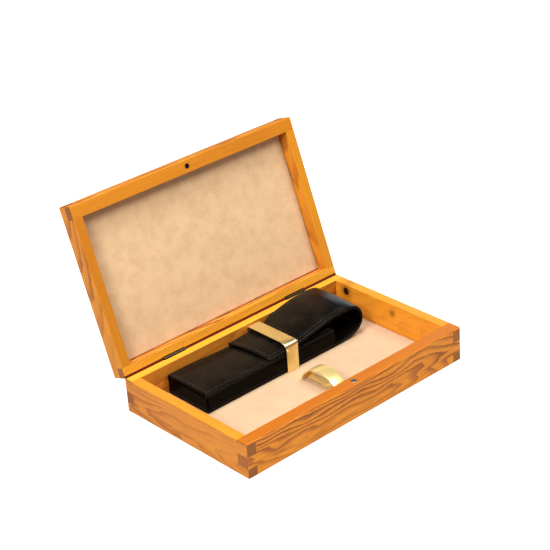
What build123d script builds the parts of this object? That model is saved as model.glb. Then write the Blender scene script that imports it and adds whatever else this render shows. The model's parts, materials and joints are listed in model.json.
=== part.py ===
"""Fountain pen case: a finger-jointed wooden box, sawn into a base and a hinged lid.

A leather pen pouch lies in the back of the base, under a brass strap, and a brass arch in
front of it holds a loose pen.  The origin is the centre of the base's underside, +X runs
along the length, +Y points to the hinges and +Z is up.  The lid is modelled where it rests,
open on its stop.  All sizes are in millimetres.
"""
import os
from math import cos, radians, sin, sqrt, tan

from build123d import *

os.makedirs("parts", exist_ok=True)

# ---------------------------------------------------------------- driving dimensions
# Box, outside
length = 210.0
width = 129.0
side_thickness = 8.0
front_thickness = 10.0
back_thickness = 8.0
base_height = 27.2
saw_kerf = 1.5            # lost where the glued box is sawn into base and lid
end_finger = 7.6          # first and last finger of each corner
finger = 9.2              # the three fingers between them
edge_round = 0.8
rim_ease = 0.4            # rounding of the rims' inner edges
closed_gap = 0.2          # between the two rims when the lid is shut
open_angle = 109.5        # lid, from shut to its stop
stop_clearance = 0.15     # from the hinge line's bisector to each stop bevel

# Panels and linings
panel_thickness = 3.0
panel_rebate = 4.0        # how far a panel reaches under each board
panel_clearance = 0.1
card_thickness = 0.9
cloth_thickness = 0.4
lining_clearance = 0.3

# Butt hinges on the back face
hinge_inset = 45.0        # hinge centre from each end of the box
hinge_length = 20.0
leaf_drop = 9.0           # from the hinge line to the leaf's far edge
leaf_thickness = 0.7
barrel_radius = 1.4
pin_radius = 0.65
pin_clearance = 0.05
knuckle_gap = 0.2
middle_knuckle = 7.2
leaf_relief = 0.3         # clear of the other leaf when fully open
hinge_screw_spacing = 12.0
hinge_screw_drop = 5.9
screw_radius = 0.8
screw_head_radius = 1.5
screw_length = 6.0
screw_clearance = 0.04
slot_width = 0.5
slot_depth = 0.3

# Catch at the middle of the front rims
catch_inset = 5.0         # from the front face
striker_head_radius = 2.3
striker_head_height = 1.4
striker_shank_radius = 1.0
striker_length = 9.0
magnet_radius = 2.0
magnet_length = 5.0
magnet_sink = 0.15        # below the lid's rim

# Brass strips: the strap over the pouch and the pen loop in front of it
strip_width = 11.0
strip_thickness = 0.8
strip_x = 7.5             # centre of both strips
strap_top = 28.0
strap_corner = 3.0        # outside corner radius
strap_slit_clearance = 0.1
loop_radius = 21.0
loop_rise = 14.0          # above the lining
loop_y = -21.6            # centre of the arch
tab_width = 6.5
tab_length = 22.0
tab_overlap = 4.0

# Leather pouch
pouch_left = -74.5
pouch_front = 11.9
pouch_width = 41.6
pouch_body_length = 125.5
pouch_edge_height = 14.9  # underside to the body's top face
flap_lift = 0.3           # flap's underside above the body's top face
leather = 2.0
flap_leather = 2.2
pouch_lining_thickness = 0.6
rest_gap = 0.3            # between the pouch and what it lies on or slides past
loop_reach = 30.6         # flap's loop, past the body's open end
loop_height = 26.4        # flap's loop, underside to crown
flap_tip_x = -14.4
stitch_length = 2.2
stitch_pitch = 3.0
stitch_width = 0.5
stitch_height = 0.3
stitch_inset = 2.6

# ---------------------------------------------------------------- worked-out values
blank_height = 2 * end_finger + 3 * finger
lid_height = blank_height - saw_kerf - base_height
cavity_length = length - 2 * side_thickness
cavity_width = width - front_thickness - back_thickness
cavity_y = (front_thickness - back_thickness) / 2
lining_top = panel_thickness + card_thickness + cloth_thickness

swing = radians(open_angle)
hinge_set_in = barrel_radius - leaf_thickness
hinge_y = width / 2 - hinge_set_in
hinge_z = base_height + closed_gap / 2
hinge_x = length / 2 - hinge_inset
closed_height = base_height + closed_gap + lid_height
leaf_cutback = barrel_radius * tan(swing / 2) + leaf_relief
bevel_width = hinge_set_in + (stop_clearance - closed_gap / 2 * cos(swing / 2)) / sin(swing / 2)
bevel_depth = bevel_width * tan(swing / 2)


def opened(y, z):
    """A point of the shut lid, swung open about the hinge line."""
    out, up = y - hinge_y, z - hinge_z
    return (0, hinge_y + out * cos(swing) + up * sin(swing), hinge_z - out * sin(swing) + up * cos(swing))


# Each half of the box is laid out in its own frame: z runs from its outer face to its rim,
# and y to the hinges.  The lid's frame is turned over, so its x runs the other way.
base_frame = Plane.XY
lid_frame = Plane(
    origin=opened(0, closed_height),
    x_dir=(-1, 0, 0),
    z_dir=(0, -sin(swing), -cos(swing)),
)


def cross_plane(frame, x):
    """The plane across a half at x, with its sketch axes along the half's y and z."""
    return Plane(origin=frame.from_local_coords((x, 0, 0)), x_dir=frame.y_dir, z_dir=frame.x_dir)


def save(piece, name):
    """Label a finished piece and write its file."""
    piece.label = name
    export_step(piece, f"parts/{name}.step")


# ---------------------------------------------------------------- box boards
def board_ring(height):
    """The four boards of one half as a single ring, from the outer face at z = 0 to its rim."""
    with BuildPart() as ring:
        with BuildSketch():
            Rectangle(length, width)
        extrude(amount=height)
        back_rim = ring.edges().group_by(Axis.Z)[-1].sort_by(Axis.Y)[-1]
        fillet(ring.edges().filter_by(lambda edge: edge != back_rim), edge_round)
        # The bevelled back edges meet when the lid is fully open, and stop it.
        with BuildSketch(Plane.YZ):
            with BuildLine():
                Polyline(
                    (width / 2 - bevel_width, height),
                    (width / 2, height - bevel_depth),
                    (width / 2 + edge_round, height - bevel_depth),
                    (width / 2 + edge_round, height + edge_round),
                    (width / 2 - bevel_width, height + edge_round),
                    close=True,
                )
            make_face()
        extrude(amount=length, both=True, mode=Mode.SUBTRACT)
        with BuildSketch(Plane.XY.offset(panel_thickness)):
            with Locations((0, cavity_y)):
                Rectangle(cavity_length, cavity_width)
        extrude(amount=height, mode=Mode.SUBTRACT)
        rim_edges = ring.edges().filter_by_position(Axis.Z, height, height)
        rim_edges = rim_edges.filter_by_position(Axis.X, -cavity_length / 2, cavity_length / 2)
        low_y, high_y = cavity_y - cavity_width / 2, cavity_y + cavity_width / 2
        fillet(rim_edges.filter_by_position(Axis.Y, low_y, high_y), rim_ease)
        with BuildSketch():
            with Locations((0, cavity_y)):
                Rectangle(cavity_length + 2 * panel_rebate, cavity_width + 2 * panel_rebate)
        extrude(amount=panel_thickness, mode=Mode.SUBTRACT)
        # Rebates for the hinge barrels, and pilot holes for the hinge screws
        notch_width = hinge_set_in + barrel_radius + leaf_relief
        for x in (-hinge_x, hinge_x):
            with Locations((x, width / 2, height)):
                Box(
                    hinge_length + 2 * knuckle_gap,
                    2 * notch_width,
                    2 * (leaf_cutback - closed_gap / 2),
                    mode=Mode.SUBTRACT,
                )
        with BuildSketch(Plane.XZ.offset(-width / 2)):
            with Locations(*hinge_screw_spots(height)):
                Circle(screw_radius + screw_clearance)
        extrude(amount=screw_length, mode=Mode.SUBTRACT)
    return ring.part


def hinge_screw_spots(height):
    """Centres of the hinge screws on a half's back face, as (x, z)."""
    z = height + closed_gap / 2 - hinge_screw_drop
    offsets = (-hinge_screw_spacing / 2, hinge_screw_spacing / 2)
    return [(x + offset, z) for x in (-hinge_x, hinge_x) for offset in offsets]


def finger_bands(height):
    """Heights where the side boards' fingers run through, then the front and back boards'."""
    levels = [0] + [end_finger + step * finger for step in range(4)]
    bands = [(min(low, height), min(high, height)) for low, high in zip(levels, levels[1:])]
    bands = [band for band in bands if band[1] > band[0]]
    return bands[0::2], bands[1::2]


def side_board(frame, ring, side):
    """A side board: a slab between front and back, with fingers as long as the box is wide."""
    height = ring.bounding_box().max.Z
    x = side * (length - side_thickness) / 2
    with BuildPart(frame) as board:
        with Locations((x, cavity_y, 0)):
            Box(side_thickness, cavity_width, height, align=(Align.CENTER, Align.CENTER, Align.MIN))
        for low, high in finger_bands(height)[0]:
            with Locations((x, 0, low)):
                Box(side_thickness, width, high - low, align=(Align.CENTER, Align.CENTER, Align.MIN))
        add(ring, mode=Mode.INTERSECT)
    return board.part


def long_board(frame, ring, side, thickness):
    """The front or back board, with fingers that run to both ends of the box."""
    height = ring.bounding_box().max.Z
    y = side * (width - thickness) / 2
    with BuildPart(frame) as board:
        with Locations((0, y, 0)):
            Box(cavity_length, thickness, height, align=(Align.CENTER, Align.CENTER, Align.MIN))
        for low, high in finger_bands(height)[1]:
            with Locations((0, y, low)):
                Box(length, thickness, high - low, align=(Align.CENTER, Align.CENTER, Align.MIN))
        add(ring, mode=Mode.INTERSECT)
    return board.part


base_ring = board_ring(base_height)
lid_ring = board_ring(lid_height)

save(side_board(base_frame, base_ring, -1), "base_left_board")
save(side_board(base_frame, base_ring, 1), "base_right_board")
save(long_board(base_frame, base_ring, 1, back_thickness), "base_back_board")
save(side_board(lid_frame, lid_ring, 1), "lid_left_board")
save(side_board(lid_frame, lid_ring, -1), "lid_right_board")
save(long_board(lid_frame, lid_ring, 1, back_thickness), "lid_back_board")

# The front boards are drilled for the catch.
with BuildPart() as base_front_board:
    add(long_board(base_frame, base_ring, -1, front_thickness))
    with Locations((0, catch_inset - width / 2, base_height)):
        CounterBoreHole(
            striker_shank_radius + screw_clearance,
            striker_head_radius + screw_clearance,
            striker_head_height,
            striker_length,
        )
save(base_front_board.part, "base_front_board")

with BuildPart() as lid_front_board:
    add(long_board(lid_frame, lid_ring, -1, front_thickness))
    with Locations(lid_frame * Location((0, catch_inset - width / 2, lid_height))):
        Hole(magnet_radius + screw_clearance, magnet_length + magnet_sink)
save(lid_front_board.part, "lid_front_board")


# ---------------------------------------------------------------- panels and linings
def layer(frame, low, thickness, reach):
    """A flat sheet inside a half, from z = low, reaching past the cavity by reach."""
    with BuildPart(frame) as sheet:
        with Locations((0, cavity_y, low)):
            Box(
                cavity_length + 2 * reach,
                cavity_width + 2 * reach,
                thickness,
                align=(Align.CENTER, Align.CENTER, Align.MIN),
            )
    return sheet.part


for half, frame in (("base_bottom", base_frame), ("lid_top", lid_frame)):
    save(layer(frame, 0, panel_thickness, panel_rebate - panel_clearance), f"{half}_panel")

cloth_low = panel_thickness + card_thickness
save(layer(lid_frame, panel_thickness, card_thickness, -lining_clearance), "lid_lining_card")
save(layer(lid_frame, cloth_low, cloth_thickness, -lining_clearance), "lid_lining_cloth")

# The strap's legs pass through slits in the base's lining and stand on the bottom panel.
strap_low_y = pouch_front - rest_gap - strip_thickness
strap_high_y = pouch_front + pouch_width + rest_gap + strip_thickness
for name, low, thickness in (
    ("base_lining_card", panel_thickness, card_thickness),
    ("base_lining_cloth", cloth_low, cloth_thickness),
):
    with BuildPart() as lining:
        add(layer(base_frame, low, thickness, -lining_clearance))
        for y in (strap_low_y + strip_thickness / 2, strap_high_y - strip_thickness / 2):
            with Locations((strip_x, y, low + thickness / 2)):
                Box(
                    strip_width + 2 * strap_slit_clearance,
                    strip_thickness + 2 * strap_slit_clearance,
                    2 * thickness,
                    mode=Mode.SUBTRACT,
                )
    save(lining.part, name)


# ---------------------------------------------------------------- brass strap and pen loop
with BuildPart() as pouch_strap:
    with BuildSketch(Plane.YZ.offset(strip_x)):
        with Locations(((strap_low_y + strap_high_y) / 2, 0)):
            RectangleRounded(strap_high_y - strap_low_y, 2 * strap_top, strap_corner)
            RectangleRounded(
                strap_high_y - strap_low_y - 2 * strip_thickness,
                2 * (strap_top - strip_thickness),
                strap_corner - strip_thickness,
                mode=Mode.SUBTRACT,
            )
    extrude(amount=strip_width / 2, both=True)
    split(bisect_by=Plane.XY.offset(panel_thickness), keep=Keep.TOP)
save(pouch_strap.part, "pouch_strap")

loop_z = lining_top + loop_rise - loop_radius
foot_reach = sqrt(loop_radius**2 - (lining_top - loop_z) ** 2)
inner_foot = sqrt((loop_radius - strip_thickness) ** 2 - (lining_top - loop_z) ** 2)
with BuildPart() as pen_loop:
    with BuildSketch(Plane.YZ.offset(strip_x)):
        with Locations((loop_y, loop_z)):
            Circle(loop_radius)
            Circle(loop_radius - strip_thickness, mode=Mode.SUBTRACT)
    extrude(amount=strip_width / 2, both=True)
    split(bisect_by=Plane.XY.offset(lining_top), keep=Keep.TOP)
    # The strip's narrowed ends turn inwards on the lining and lap over each other.
    tab_x = strip_x + (strip_width - tab_width) / 2
    tab_align = (Align.CENTER, Align.MIN, Align.MIN)
    with Locations((tab_x, loop_y - (foot_reach + inner_foot) / 2, lining_top)):
        Box(tab_width, (foot_reach + inner_foot) / 2 + tab_overlap / 2, strip_thickness, align=tab_align)
    with Locations((tab_x, loop_y - tab_overlap / 2, lining_top + strip_thickness)):
        Box(tab_width, inner_foot + tab_overlap / 2, strip_thickness, align=tab_align)
save(pen_loop.part, "pen_loop")


# ---------------------------------------------------------------- catch
with BuildPart() as catch_striker:
    with Locations((0, catch_inset - width / 2, base_height - striker_head_height)):
        Cylinder(
            striker_head_radius,
            striker_head_height,
            align=(Align.CENTER, Align.CENTER, Align.MIN),
        )
    fillet(catch_striker.edges().group_by(Axis.Z)[-1], striker_head_height / 4)
    with Locations((0, catch_inset - width / 2, base_height)):
        Cylinder(striker_shank_radius, striker_length, align=(Align.CENTER, Align.CENTER, Align.MAX))
save(catch_striker.part, "catch_striker")

with BuildPart(lid_frame) as catch_magnet:
    with Locations((0, catch_inset - width / 2, lid_height - magnet_sink)):
        Cylinder(magnet_radius, magnet_length, align=(Align.CENTER, Align.CENTER, Align.MAX))
save(catch_magnet.part, "catch_magnet")


# ---------------------------------------------------------------- hinges
outer_knuckle = (hinge_length - middle_knuckle) / 2 - knuckle_gap


def hinge_leaf(frame, height, x, knuckles):
    """One leaf: a plate on the back face, and knuckles that its top edge rolls into.

    knuckles lists each knuckle's centre and length along the hinge line.
    """
    line_z = height + closed_gap / 2
    plate_middle = width / 2 + leaf_thickness / 2
    leaf_root = leaf_cutback + leaf_thickness
    with BuildPart() as leaf:
        with BuildSketch(cross_plane(frame, x)):
            with Locations((plate_middle, line_z - (leaf_drop + leaf_cutback) / 2)):
                Rectangle(leaf_thickness, leaf_drop - leaf_cutback)
        extrude(amount=hinge_length / 2, both=True)
        for centre, knuckle_length in knuckles:
            with BuildSketch(cross_plane(frame, x + centre)):
                with Locations((plate_middle, line_z - leaf_root / 2)):
                    Rectangle(leaf_thickness, leaf_root)
                with Locations((hinge_y, line_z)):
                    Circle(barrel_radius)
                    Circle(pin_radius + pin_clearance, mode=Mode.SUBTRACT)
            extrude(amount=knuckle_length / 2, both=True)
        for screw_x, screw_z in hinge_screw_spots(height):
            if abs(screw_x - x) < hinge_length / 2:
                spot = Plane(
                    origin=frame.from_local_coords((screw_x, width / 2 + leaf_thickness, screw_z)),
                    z_dir=frame.y_dir,
                )
                with Locations(spot):
                    CounterSinkHole(
                        screw_radius + screw_clearance,
                        screw_head_radius + screw_clearance,
                        leaf_thickness,
                        90,
                    )
    return leaf.part


def hinge_screws(frame, height):
    """The four countersunk wood screws of one half's leaves."""
    sink = screw_head_radius - screw_radius
    with BuildPart() as screws:
        for screw_x, screw_z in hinge_screw_spots(height):
            axis_plane = Plane(
                origin=frame.from_local_coords((screw_x, width / 2 + leaf_thickness, screw_z)),
                x_dir=frame.x_dir,
                z_dir=frame.z_dir,
            )
            with BuildSketch(axis_plane):
                with BuildLine():
                    Polyline(
                        (0, 0),
                        (screw_head_radius, 0),
                        (screw_radius, -sink),
                        (screw_radius, -screw_length),
                        (0, -screw_length - screw_radius / 2),
                        close=True,
                    )
                make_face()
            revolve(axis=Axis(axis_plane.origin, axis_plane.y_dir))
            with BuildSketch(Plane(origin=axis_plane.origin, x_dir=frame.x_dir, z_dir=frame.y_dir)):
                Rectangle(2 * screw_head_radius, slot_width)
            extrude(amount=-slot_depth, mode=Mode.SUBTRACT)
    return screws.part


outer_centre = (hinge_length - outer_knuckle) / 2
base_knuckles = [(-outer_centre, outer_knuckle), (outer_centre, outer_knuckle)]
lid_knuckles = [(0, middle_knuckle)]
for side, x in (("left", -hinge_x), ("right", hinge_x)):
    save(hinge_leaf(base_frame, base_height, x, base_knuckles), f"hinge_{side}_base_leaf")
    save(hinge_leaf(lid_frame, lid_height, -x, lid_knuckles), f"hinge_{side}_lid_leaf")
    with BuildPart() as pin:
        with BuildSketch(cross_plane(base_frame, x)):
            with Locations((hinge_y, hinge_z)):
                Circle(pin_radius)
        extrude(amount=hinge_length / 2, both=True)
    save(pin.part, f"hinge_{side}_pin")
save(hinge_screws(base_frame, base_height), "hinge_base_screws")
save(hinge_screws(lid_frame, lid_height), "hinge_lid_screws")


# ---------------------------------------------------------------- leather pouch
pouch_z = lining_top + rest_gap
pouch_right = pouch_left + pouch_body_length
pouch_y = pouch_front + pouch_width / 2
chamber_z = pouch_z + flap_leather
panel_z = pouch_z + pouch_edge_height - leather
flap_z = panel_z + leather + flap_lift
flap_crown = pouch_z + loop_height
loop_x = pouch_right + loop_reach

# The back panel is one long strip: it lies under the body, turns up in a loop past the open
# end and comes back over the top as the flap, whose tip tucks under the strap.
half_leather = flap_leather / 2
with BuildPart() as pouch_back_and_flap:
    with BuildSketch(Plane.XZ.offset(-pouch_y)):
        with BuildLine():
            route = FilletPolyline(
                (pouch_left, pouch_z + half_leather),
                (pouch_right + 0.45 * loop_reach, pouch_z + half_leather),
                (loop_x - half_leather, pouch_z + 0.3 * loop_height),
                (loop_x - half_leather, flap_crown - 3 * half_leather),
                (loop_x - 0.35 * loop_reach, flap_crown - half_leather),
                (pouch_right - 0.1 * loop_reach, flap_crown - half_leather),
                (pouch_right - 1.2 * loop_reach, flap_z + 3.4 * half_leather),
                (flap_tip_x, flap_z + half_leather),
                radius=[12, 7, 4, 9, 30, 60],
            )
            offset(route, amount=half_leather, side=Side.BOTH)
        make_face()
    extrude(amount=pouch_width / 2, both=True)
save(pouch_back_and_flap.part, "pouch_back_and_flap")

with BuildPart() as pouch_front_panel:
    with Locations(((pouch_left + pouch_right) / 2, pouch_y, panel_z)):
        Box(
            pouch_body_length,
            pouch_width,
            leather,
            align=(Align.CENTER, Align.CENTER, Align.MIN),
        )
save(pouch_front_panel.part, "pouch_front_panel")

# One wall strip runs down a long side, round the closed left end and back up the other side.
with BuildPart() as pouch_gusset:
    with BuildSketch(Plane.XY.offset(chamber_z)):
        with Locations((pouch_left, pouch_y)):
            Rectangle(pouch_body_length, pouch_width, align=(Align.MIN, Align.CENTER))
        with Locations((pouch_left + leather, pouch_y)):
            Rectangle(
                pouch_body_length,
                pouch_width - 2 * leather,
                align=(Align.MIN, Align.CENTER),
                mode=Mode.SUBTRACT,
            )
    extrude(amount=panel_z - chamber_z)
save(pouch_gusset.part, "pouch_gusset")

with BuildPart() as pouch_lining:
    with BuildSketch(Plane.YZ.offset(pouch_left + leather)):
        with Locations((pouch_y, (chamber_z + panel_z) / 2)):
            Rectangle(pouch_width - 2 * leather, panel_z - chamber_z)
    extrude(amount=pouch_body_length - leather)
    open_end = pouch_lining.faces().sort_by(Axis.X)[-1]
    offset(amount=-pouch_lining_thickness, openings=open_end)
save(pouch_lining.part, "pouch_lining")

# A row of stitches follows the top panel's edge round its closed end, as far as the flap.
row_end = flap_tip_x - stitch_length
row_start = pouch_left + stitch_inset
row_count = int((row_end - row_start) / stitch_pitch)
end_count = int((pouch_width - 2 * stitch_inset) / stitch_pitch)
row_offset = pouch_width / 2 - stitch_inset
stitch_align = (Align.CENTER, Align.CENTER, Align.MIN)
with BuildPart() as pouch_stitching:
    row_x = row_start + row_count * stitch_pitch / 2
    with Locations((row_x, pouch_y, panel_z + leather)):
        with GridLocations(stitch_pitch, 2 * row_offset, row_count, 2):
            Box(stitch_length, stitch_width, stitch_height, align=stitch_align)
    with Locations((pouch_left + stitch_inset, pouch_y, panel_z + leather)):
        with GridLocations(stitch_pitch, stitch_pitch, 1, end_count):
            Box(stitch_width, stitch_length, stitch_height, align=stitch_align)
save(pouch_stitching.part, "pouch_stitching")
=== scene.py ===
"""The fountain pen case's looks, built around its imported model.

A finger-jointed softwood box with suede linings, brass fittings and a black leather pen pouch.
"""
import json
import math

import bpy
import numpy as np
from mathutils import Matrix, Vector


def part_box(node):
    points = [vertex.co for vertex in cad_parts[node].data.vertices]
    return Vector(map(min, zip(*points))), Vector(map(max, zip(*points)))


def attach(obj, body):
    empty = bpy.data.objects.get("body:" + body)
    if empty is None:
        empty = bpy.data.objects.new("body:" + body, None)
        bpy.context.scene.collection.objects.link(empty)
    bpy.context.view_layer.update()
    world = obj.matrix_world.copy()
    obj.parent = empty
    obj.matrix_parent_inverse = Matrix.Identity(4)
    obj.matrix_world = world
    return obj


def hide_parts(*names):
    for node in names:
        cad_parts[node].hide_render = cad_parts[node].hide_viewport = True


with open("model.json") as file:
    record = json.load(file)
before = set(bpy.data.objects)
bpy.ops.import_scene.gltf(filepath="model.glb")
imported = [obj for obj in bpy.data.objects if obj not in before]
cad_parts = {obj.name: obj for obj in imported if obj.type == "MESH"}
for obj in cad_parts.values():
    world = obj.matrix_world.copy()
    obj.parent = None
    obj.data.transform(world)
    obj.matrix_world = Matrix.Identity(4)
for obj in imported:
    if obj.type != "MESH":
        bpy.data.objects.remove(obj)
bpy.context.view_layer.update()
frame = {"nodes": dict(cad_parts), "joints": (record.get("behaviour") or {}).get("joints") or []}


# ---- Box boards -------------------------------------------------------------------------
# Eight boards of honey-stained softwood, flat-sawn, finger-jointed and glued at the corners,
# then lacquered.  Their faces show broad flames of grain and their edges fine straight lines.
def feed(tree, socket, value):
    """Give an input socket a constant, or link it to another node's output."""
    if isinstance(value, bpy.types.NodeSocket):
        tree.links.new(value, socket)
    else:
        socket.default_value = value


def add_node(tree, kind, values=None, **settings):
    """Add one shader node; values feeds its inputs, and settings sets its properties."""
    made = tree.nodes.new("ShaderNode" + kind)
    for key, value in settings.items():
        setattr(made, key, value)
    for key, value in (values or {}).items():
        feed(tree, made.inputs[key], value)
    return made


def calc(tree, operation, first, second=0.0, third=0.0):
    """The output of a Math node."""
    return add_node(tree, "Math", {0: first, 1: second, 2: third}, operation=operation).outputs[0]


def vector_calc(tree, operation, first, second=(0.0, 0.0, 0.0)):
    """The vector output of a Vector Math node."""
    return add_node(tree, "VectorMath", {0: first, 1: second}, operation=operation).outputs[0]


def vector_length(tree, vector):
    """The length of a vector."""
    return add_node(tree, "VectorMath", {0: vector}, operation="LENGTH").outputs["Value"]


def stretched(tree, place, scale):
    """A place scaled by its own amount along each axis."""
    return vector_calc(tree, "MULTIPLY", place, scale)


def spread(tree, value, low, high, new_low=0.0, new_high=1.0, smooth=True):
    """A value carried from one range to another, with eased ends."""
    made = add_node(
        tree,
        "MapRange",
        {"Value": value, "From Min": low, "From Max": high, "To Min": new_low, "To Max": new_high},
        interpolation_type="SMOOTHSTEP" if smooth else "LINEAR",
    )
    return made.outputs["Result"]


def noise(tree, vector, scale, detail=2.0, roughness=0.5):
    """The value of a 3-D noise, about 0 to 1."""
    values = {"Vector": vector, "Scale": scale, "Detail": detail, "Roughness": roughness}
    return add_node(tree, "TexNoise", values).outputs["Fac"]


def blend_colour(tree, amount, first, second, mode="MIX"):
    """Two colours mixed by an amount, with a Mix node's own sockets for colours."""
    made = add_node(tree, "Mix", data_type="RGBA", blend_type=mode)
    for socket, value in zip((made.inputs[0], made.inputs[6], made.inputs[7]), (amount, first, second)):
        feed(tree, socket, value)
    return made.outputs[2]


def colour(red, green, blue):
    """A colour given as screen values from 0 to 255, as the linear colour that shaders use."""
    screen = np.array([red, green, blue]) / 255.0
    linear = np.where(screen <= 0.04045, screen / 12.92, ((screen + 0.055) / 1.055) ** 2.4)
    return (*[float(part) for part in linear], 1.0)


white, black = (1.0, 1.0, 1.0, 1.0), (0.0, 0.0, 0.0, 1.0)


def open_group(name, inputs, outputs):
    """A new shader node group with its input and output sockets, as (tree, inputs, outputs)."""
    tree = bpy.data.node_groups.new(name, "ShaderNodeTree")
    for label, kind, default in inputs:
        socket = tree.interface.new_socket(label, in_out="INPUT", socket_type="NodeSocket" + kind)
        if default is not None:
            socket.default_value = default
    for label, kind in outputs:
        tree.interface.new_socket(label, in_out="OUTPUT", socket_type="NodeSocket" + kind)
    entry = tree.nodes.new("NodeGroupInput")
    exit_node = tree.nodes.new("NodeGroupOutput")
    return tree, entry.outputs, exit_node.inputs


def place_group(tree, group, **values):
    """Put a node group in a material and feed its inputs; an underscore stands for a space."""
    made = tree.nodes.new("ShaderNodeGroup")
    made.node_tree = group
    for label, value in values.items():
        feed(tree, made.inputs[label.replace("_", " ")], value)
    return made.outputs


def softwood_group():
    """Growth rings, fibres and dark end grain of a sawn board.

    Position is measured from the tree's pith, in metres, with x along the grain.  The ring
    number is the distance from the pith, leaned and rippled, over the ring's width; each ring
    goes slowly from Pale early wood to Dark late wood and drops back sharply.  Edge is the
    colour of the narrow faces: partly the edge grain's own tone and partly painted light, as
    each board's rims are given a lighter or darker colour for the light they catch.  End
    darkens the sawn ends, and a further input paints the shadow of the hinge gap red-brown.
    """
    slow_scale, ragged_scale = (9.0, 46.0, 46.0), (70.0, 330.0, 330.0)
    streak_scale, fibre_scale = (16.0, 420.0, 420.0), (55.0, 1500.0, 1500.0)
    pore_scale, end_scale = (130.0, 2300.0, 2300.0), (300.0, 1500.0, 1500.0)
    ragged_depth, halo_bend = 0.0010, 0.005
    early_end, late_start, late_end = 0.25, 0.88, 0.93
    edge_quiet, stain_share, halo_share = -0.4, 0.45, 0.55
    stain_tint, halo_brown = (0.95, 0.80, 0.62, 1), (0.20, 0.055, 0.012, 1)
    knot_black = (0.007, 0.004, 0.003, 1)
    tree, given, out = open_group(
        "sawn_softwood",
        [
            ("Position", "Vector", None),
            ("Normal", "Vector", None),
            ("Ring Width", "Float", 0.0017),
            ("Lean", "Float", 0.06),
            ("Ripple", "Float", 0.004),
            ("Knot", "Float", 0.0),
            ("Halo", "Float", 0.0),
            ("Stain", "Float", 0.0),
            ("Contrast", "Float", 1.0),
            ("Pale", "Color", white),
            ("Edge", "Color", white),
            ("Dark", "Color", black),
            ("End", "Color", black),
        ],
        [("Color", "Color"), ("Roughness", "Float"), ("Height", "Float")],
    )
    place = given["Position"]
    slow = stretched(tree, place, slow_scale)
    ripple = calc(tree, "SUBTRACT", noise(tree, slow, 1.0, 2.5, 0.5), 0.5)
    parts = add_node(tree, "SeparateXYZ", {0: place}).outputs
    flat = calc(tree, "MULTIPLY", parts[1], parts[1])
    distance = calc(tree, "SQRT", calc(tree, "MULTIPLY_ADD", parts[2], parts[2], flat))
    distance = calc(tree, "MULTIPLY_ADD", parts[0], given["Lean"], distance)
    distance = calc(tree, "MULTIPLY_ADD", ripple, given["Ripple"], distance)
    ragged = noise(tree, stretched(tree, place, ragged_scale), 1.0, 3.0, 0.65)
    distance = calc(tree, "MULTIPLY_ADD", calc(tree, "SUBTRACT", ragged, 0.5), ragged_depth, distance)
    distance = calc(tree, "MULTIPLY_ADD", given["Halo"], halo_bend, distance)
    phase = calc(tree, "FRACT", calc(tree, "DIVIDE", distance, given["Ring Width"]))
    rise = spread(tree, phase, early_end, late_start)
    fall = spread(tree, phase, late_end, 1.0, 1.0, 0.0)
    strength = spread(tree, noise(tree, slow, 0.6, 1.0), 0.3, 0.75, 0.2, 1.0)
    ring = calc(tree, "MULTIPLY", calc(tree, "MULTIPLY", rise, fall), strength)

    fibre = noise(tree, stretched(tree, place, fibre_scale), 1.0, 3.0, 0.6)
    streak = noise(tree, stretched(tree, place, streak_scale), 1.0, 2.0, 0.6)
    pore = noise(tree, stretched(tree, place, pore_scale), 1.0, 1.0, 0.5)
    amount = calc(tree, "MULTIPLY_ADD", calc(tree, "SUBTRACT", streak, 0.4), 0.8, ring)
    amount = calc(tree, "MULTIPLY_ADD", calc(tree, "SUBTRACT", fibre, 0.45), 0.6, amount)
    amount = calc(tree, "MULTIPLY_ADD", spread(tree, pore, 0.6, 0.72), 0.3, amount)

    sides = add_node(tree, "SeparateXYZ", {0: given["Normal"]}).outputs
    edge = spread(tree, calc(tree, "ABSOLUTE", sides[2]), 0.6, 0.9)
    quiet = calc(tree, "MULTIPLY_ADD", edge, edge_quiet, 1.0)
    amount = calc(tree, "MULTIPLY", amount, calc(tree, "MULTIPLY", quiet, given["Contrast"]))
    amount = add_node(tree, "Clamp", {0: amount}).outputs[0]
    pale = blend_colour(tree, edge, given["Pale"], given["Edge"])
    shade = blend_colour(tree, amount, pale, given["Dark"])
    stain = spread(tree, noise(tree, slow, 0.35, 1.0), 0.35, 0.7)
    shade = blend_colour(tree, calc(tree, "MULTIPLY", stain, stain_share), shade, stain_tint, "MULTIPLY")

    end_grain = spread(tree, calc(tree, "ABSOLUTE", sides[0]), 0.55, 0.85)
    dots = noise(tree, stretched(tree, place, end_scale), 1.0, 2.0)
    end_ring = calc(tree, "MULTIPLY_ADD", ring, 0.35, 0.55)
    end_amount = calc(tree, "MULTIPLY_ADD", dots, 0.25, end_ring)
    end_shade = blend_colour(tree, end_amount, given["Pale"], given["End"])
    shade = blend_colour(tree, end_grain, shade, end_shade)
    shade = blend_colour(tree, calc(tree, "MULTIPLY", given["Halo"], halo_share), shade, halo_brown)
    shade = blend_colour(tree, given["Knot"], shade, knot_black)
    # Painted shade: a red-brown stands in for the shadow in the gap between the hinged boards.
    shade = blend_colour(tree, given["Stain"], shade, colour(104, 32, 10))
    tree.links.new(shade, out["Color"])
    tree.links.new(spread(tree, fibre, 0.2, 0.8, 0.34, 0.48, False), out["Roughness"])
    height = calc(tree, "MULTIPLY_ADD", ring, 0.6, calc(tree, "MULTIPLY", fibre, 0.5))
    tree.links.new(height, out["Height"])
    return tree


softwood = softwood_group()
lid_joint = next(joint for joint in frame["joints"] if joint["name"] == "lid_hinge")
swing = math.radians(lid_joint["range_deg"][1])


def new_material(name, **sockets):
    """A material with its own Principled shader, and constants set on the shader's sockets."""
    made = bpy.data.materials.new(name)
    made.use_nodes = True
    shader = made.node_tree.nodes["Principled BSDF"]
    for key, value in sockets.items():
        shader.inputs[key.replace("_", " ")].default_value = value
    return made, made.node_tree, shader


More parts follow.
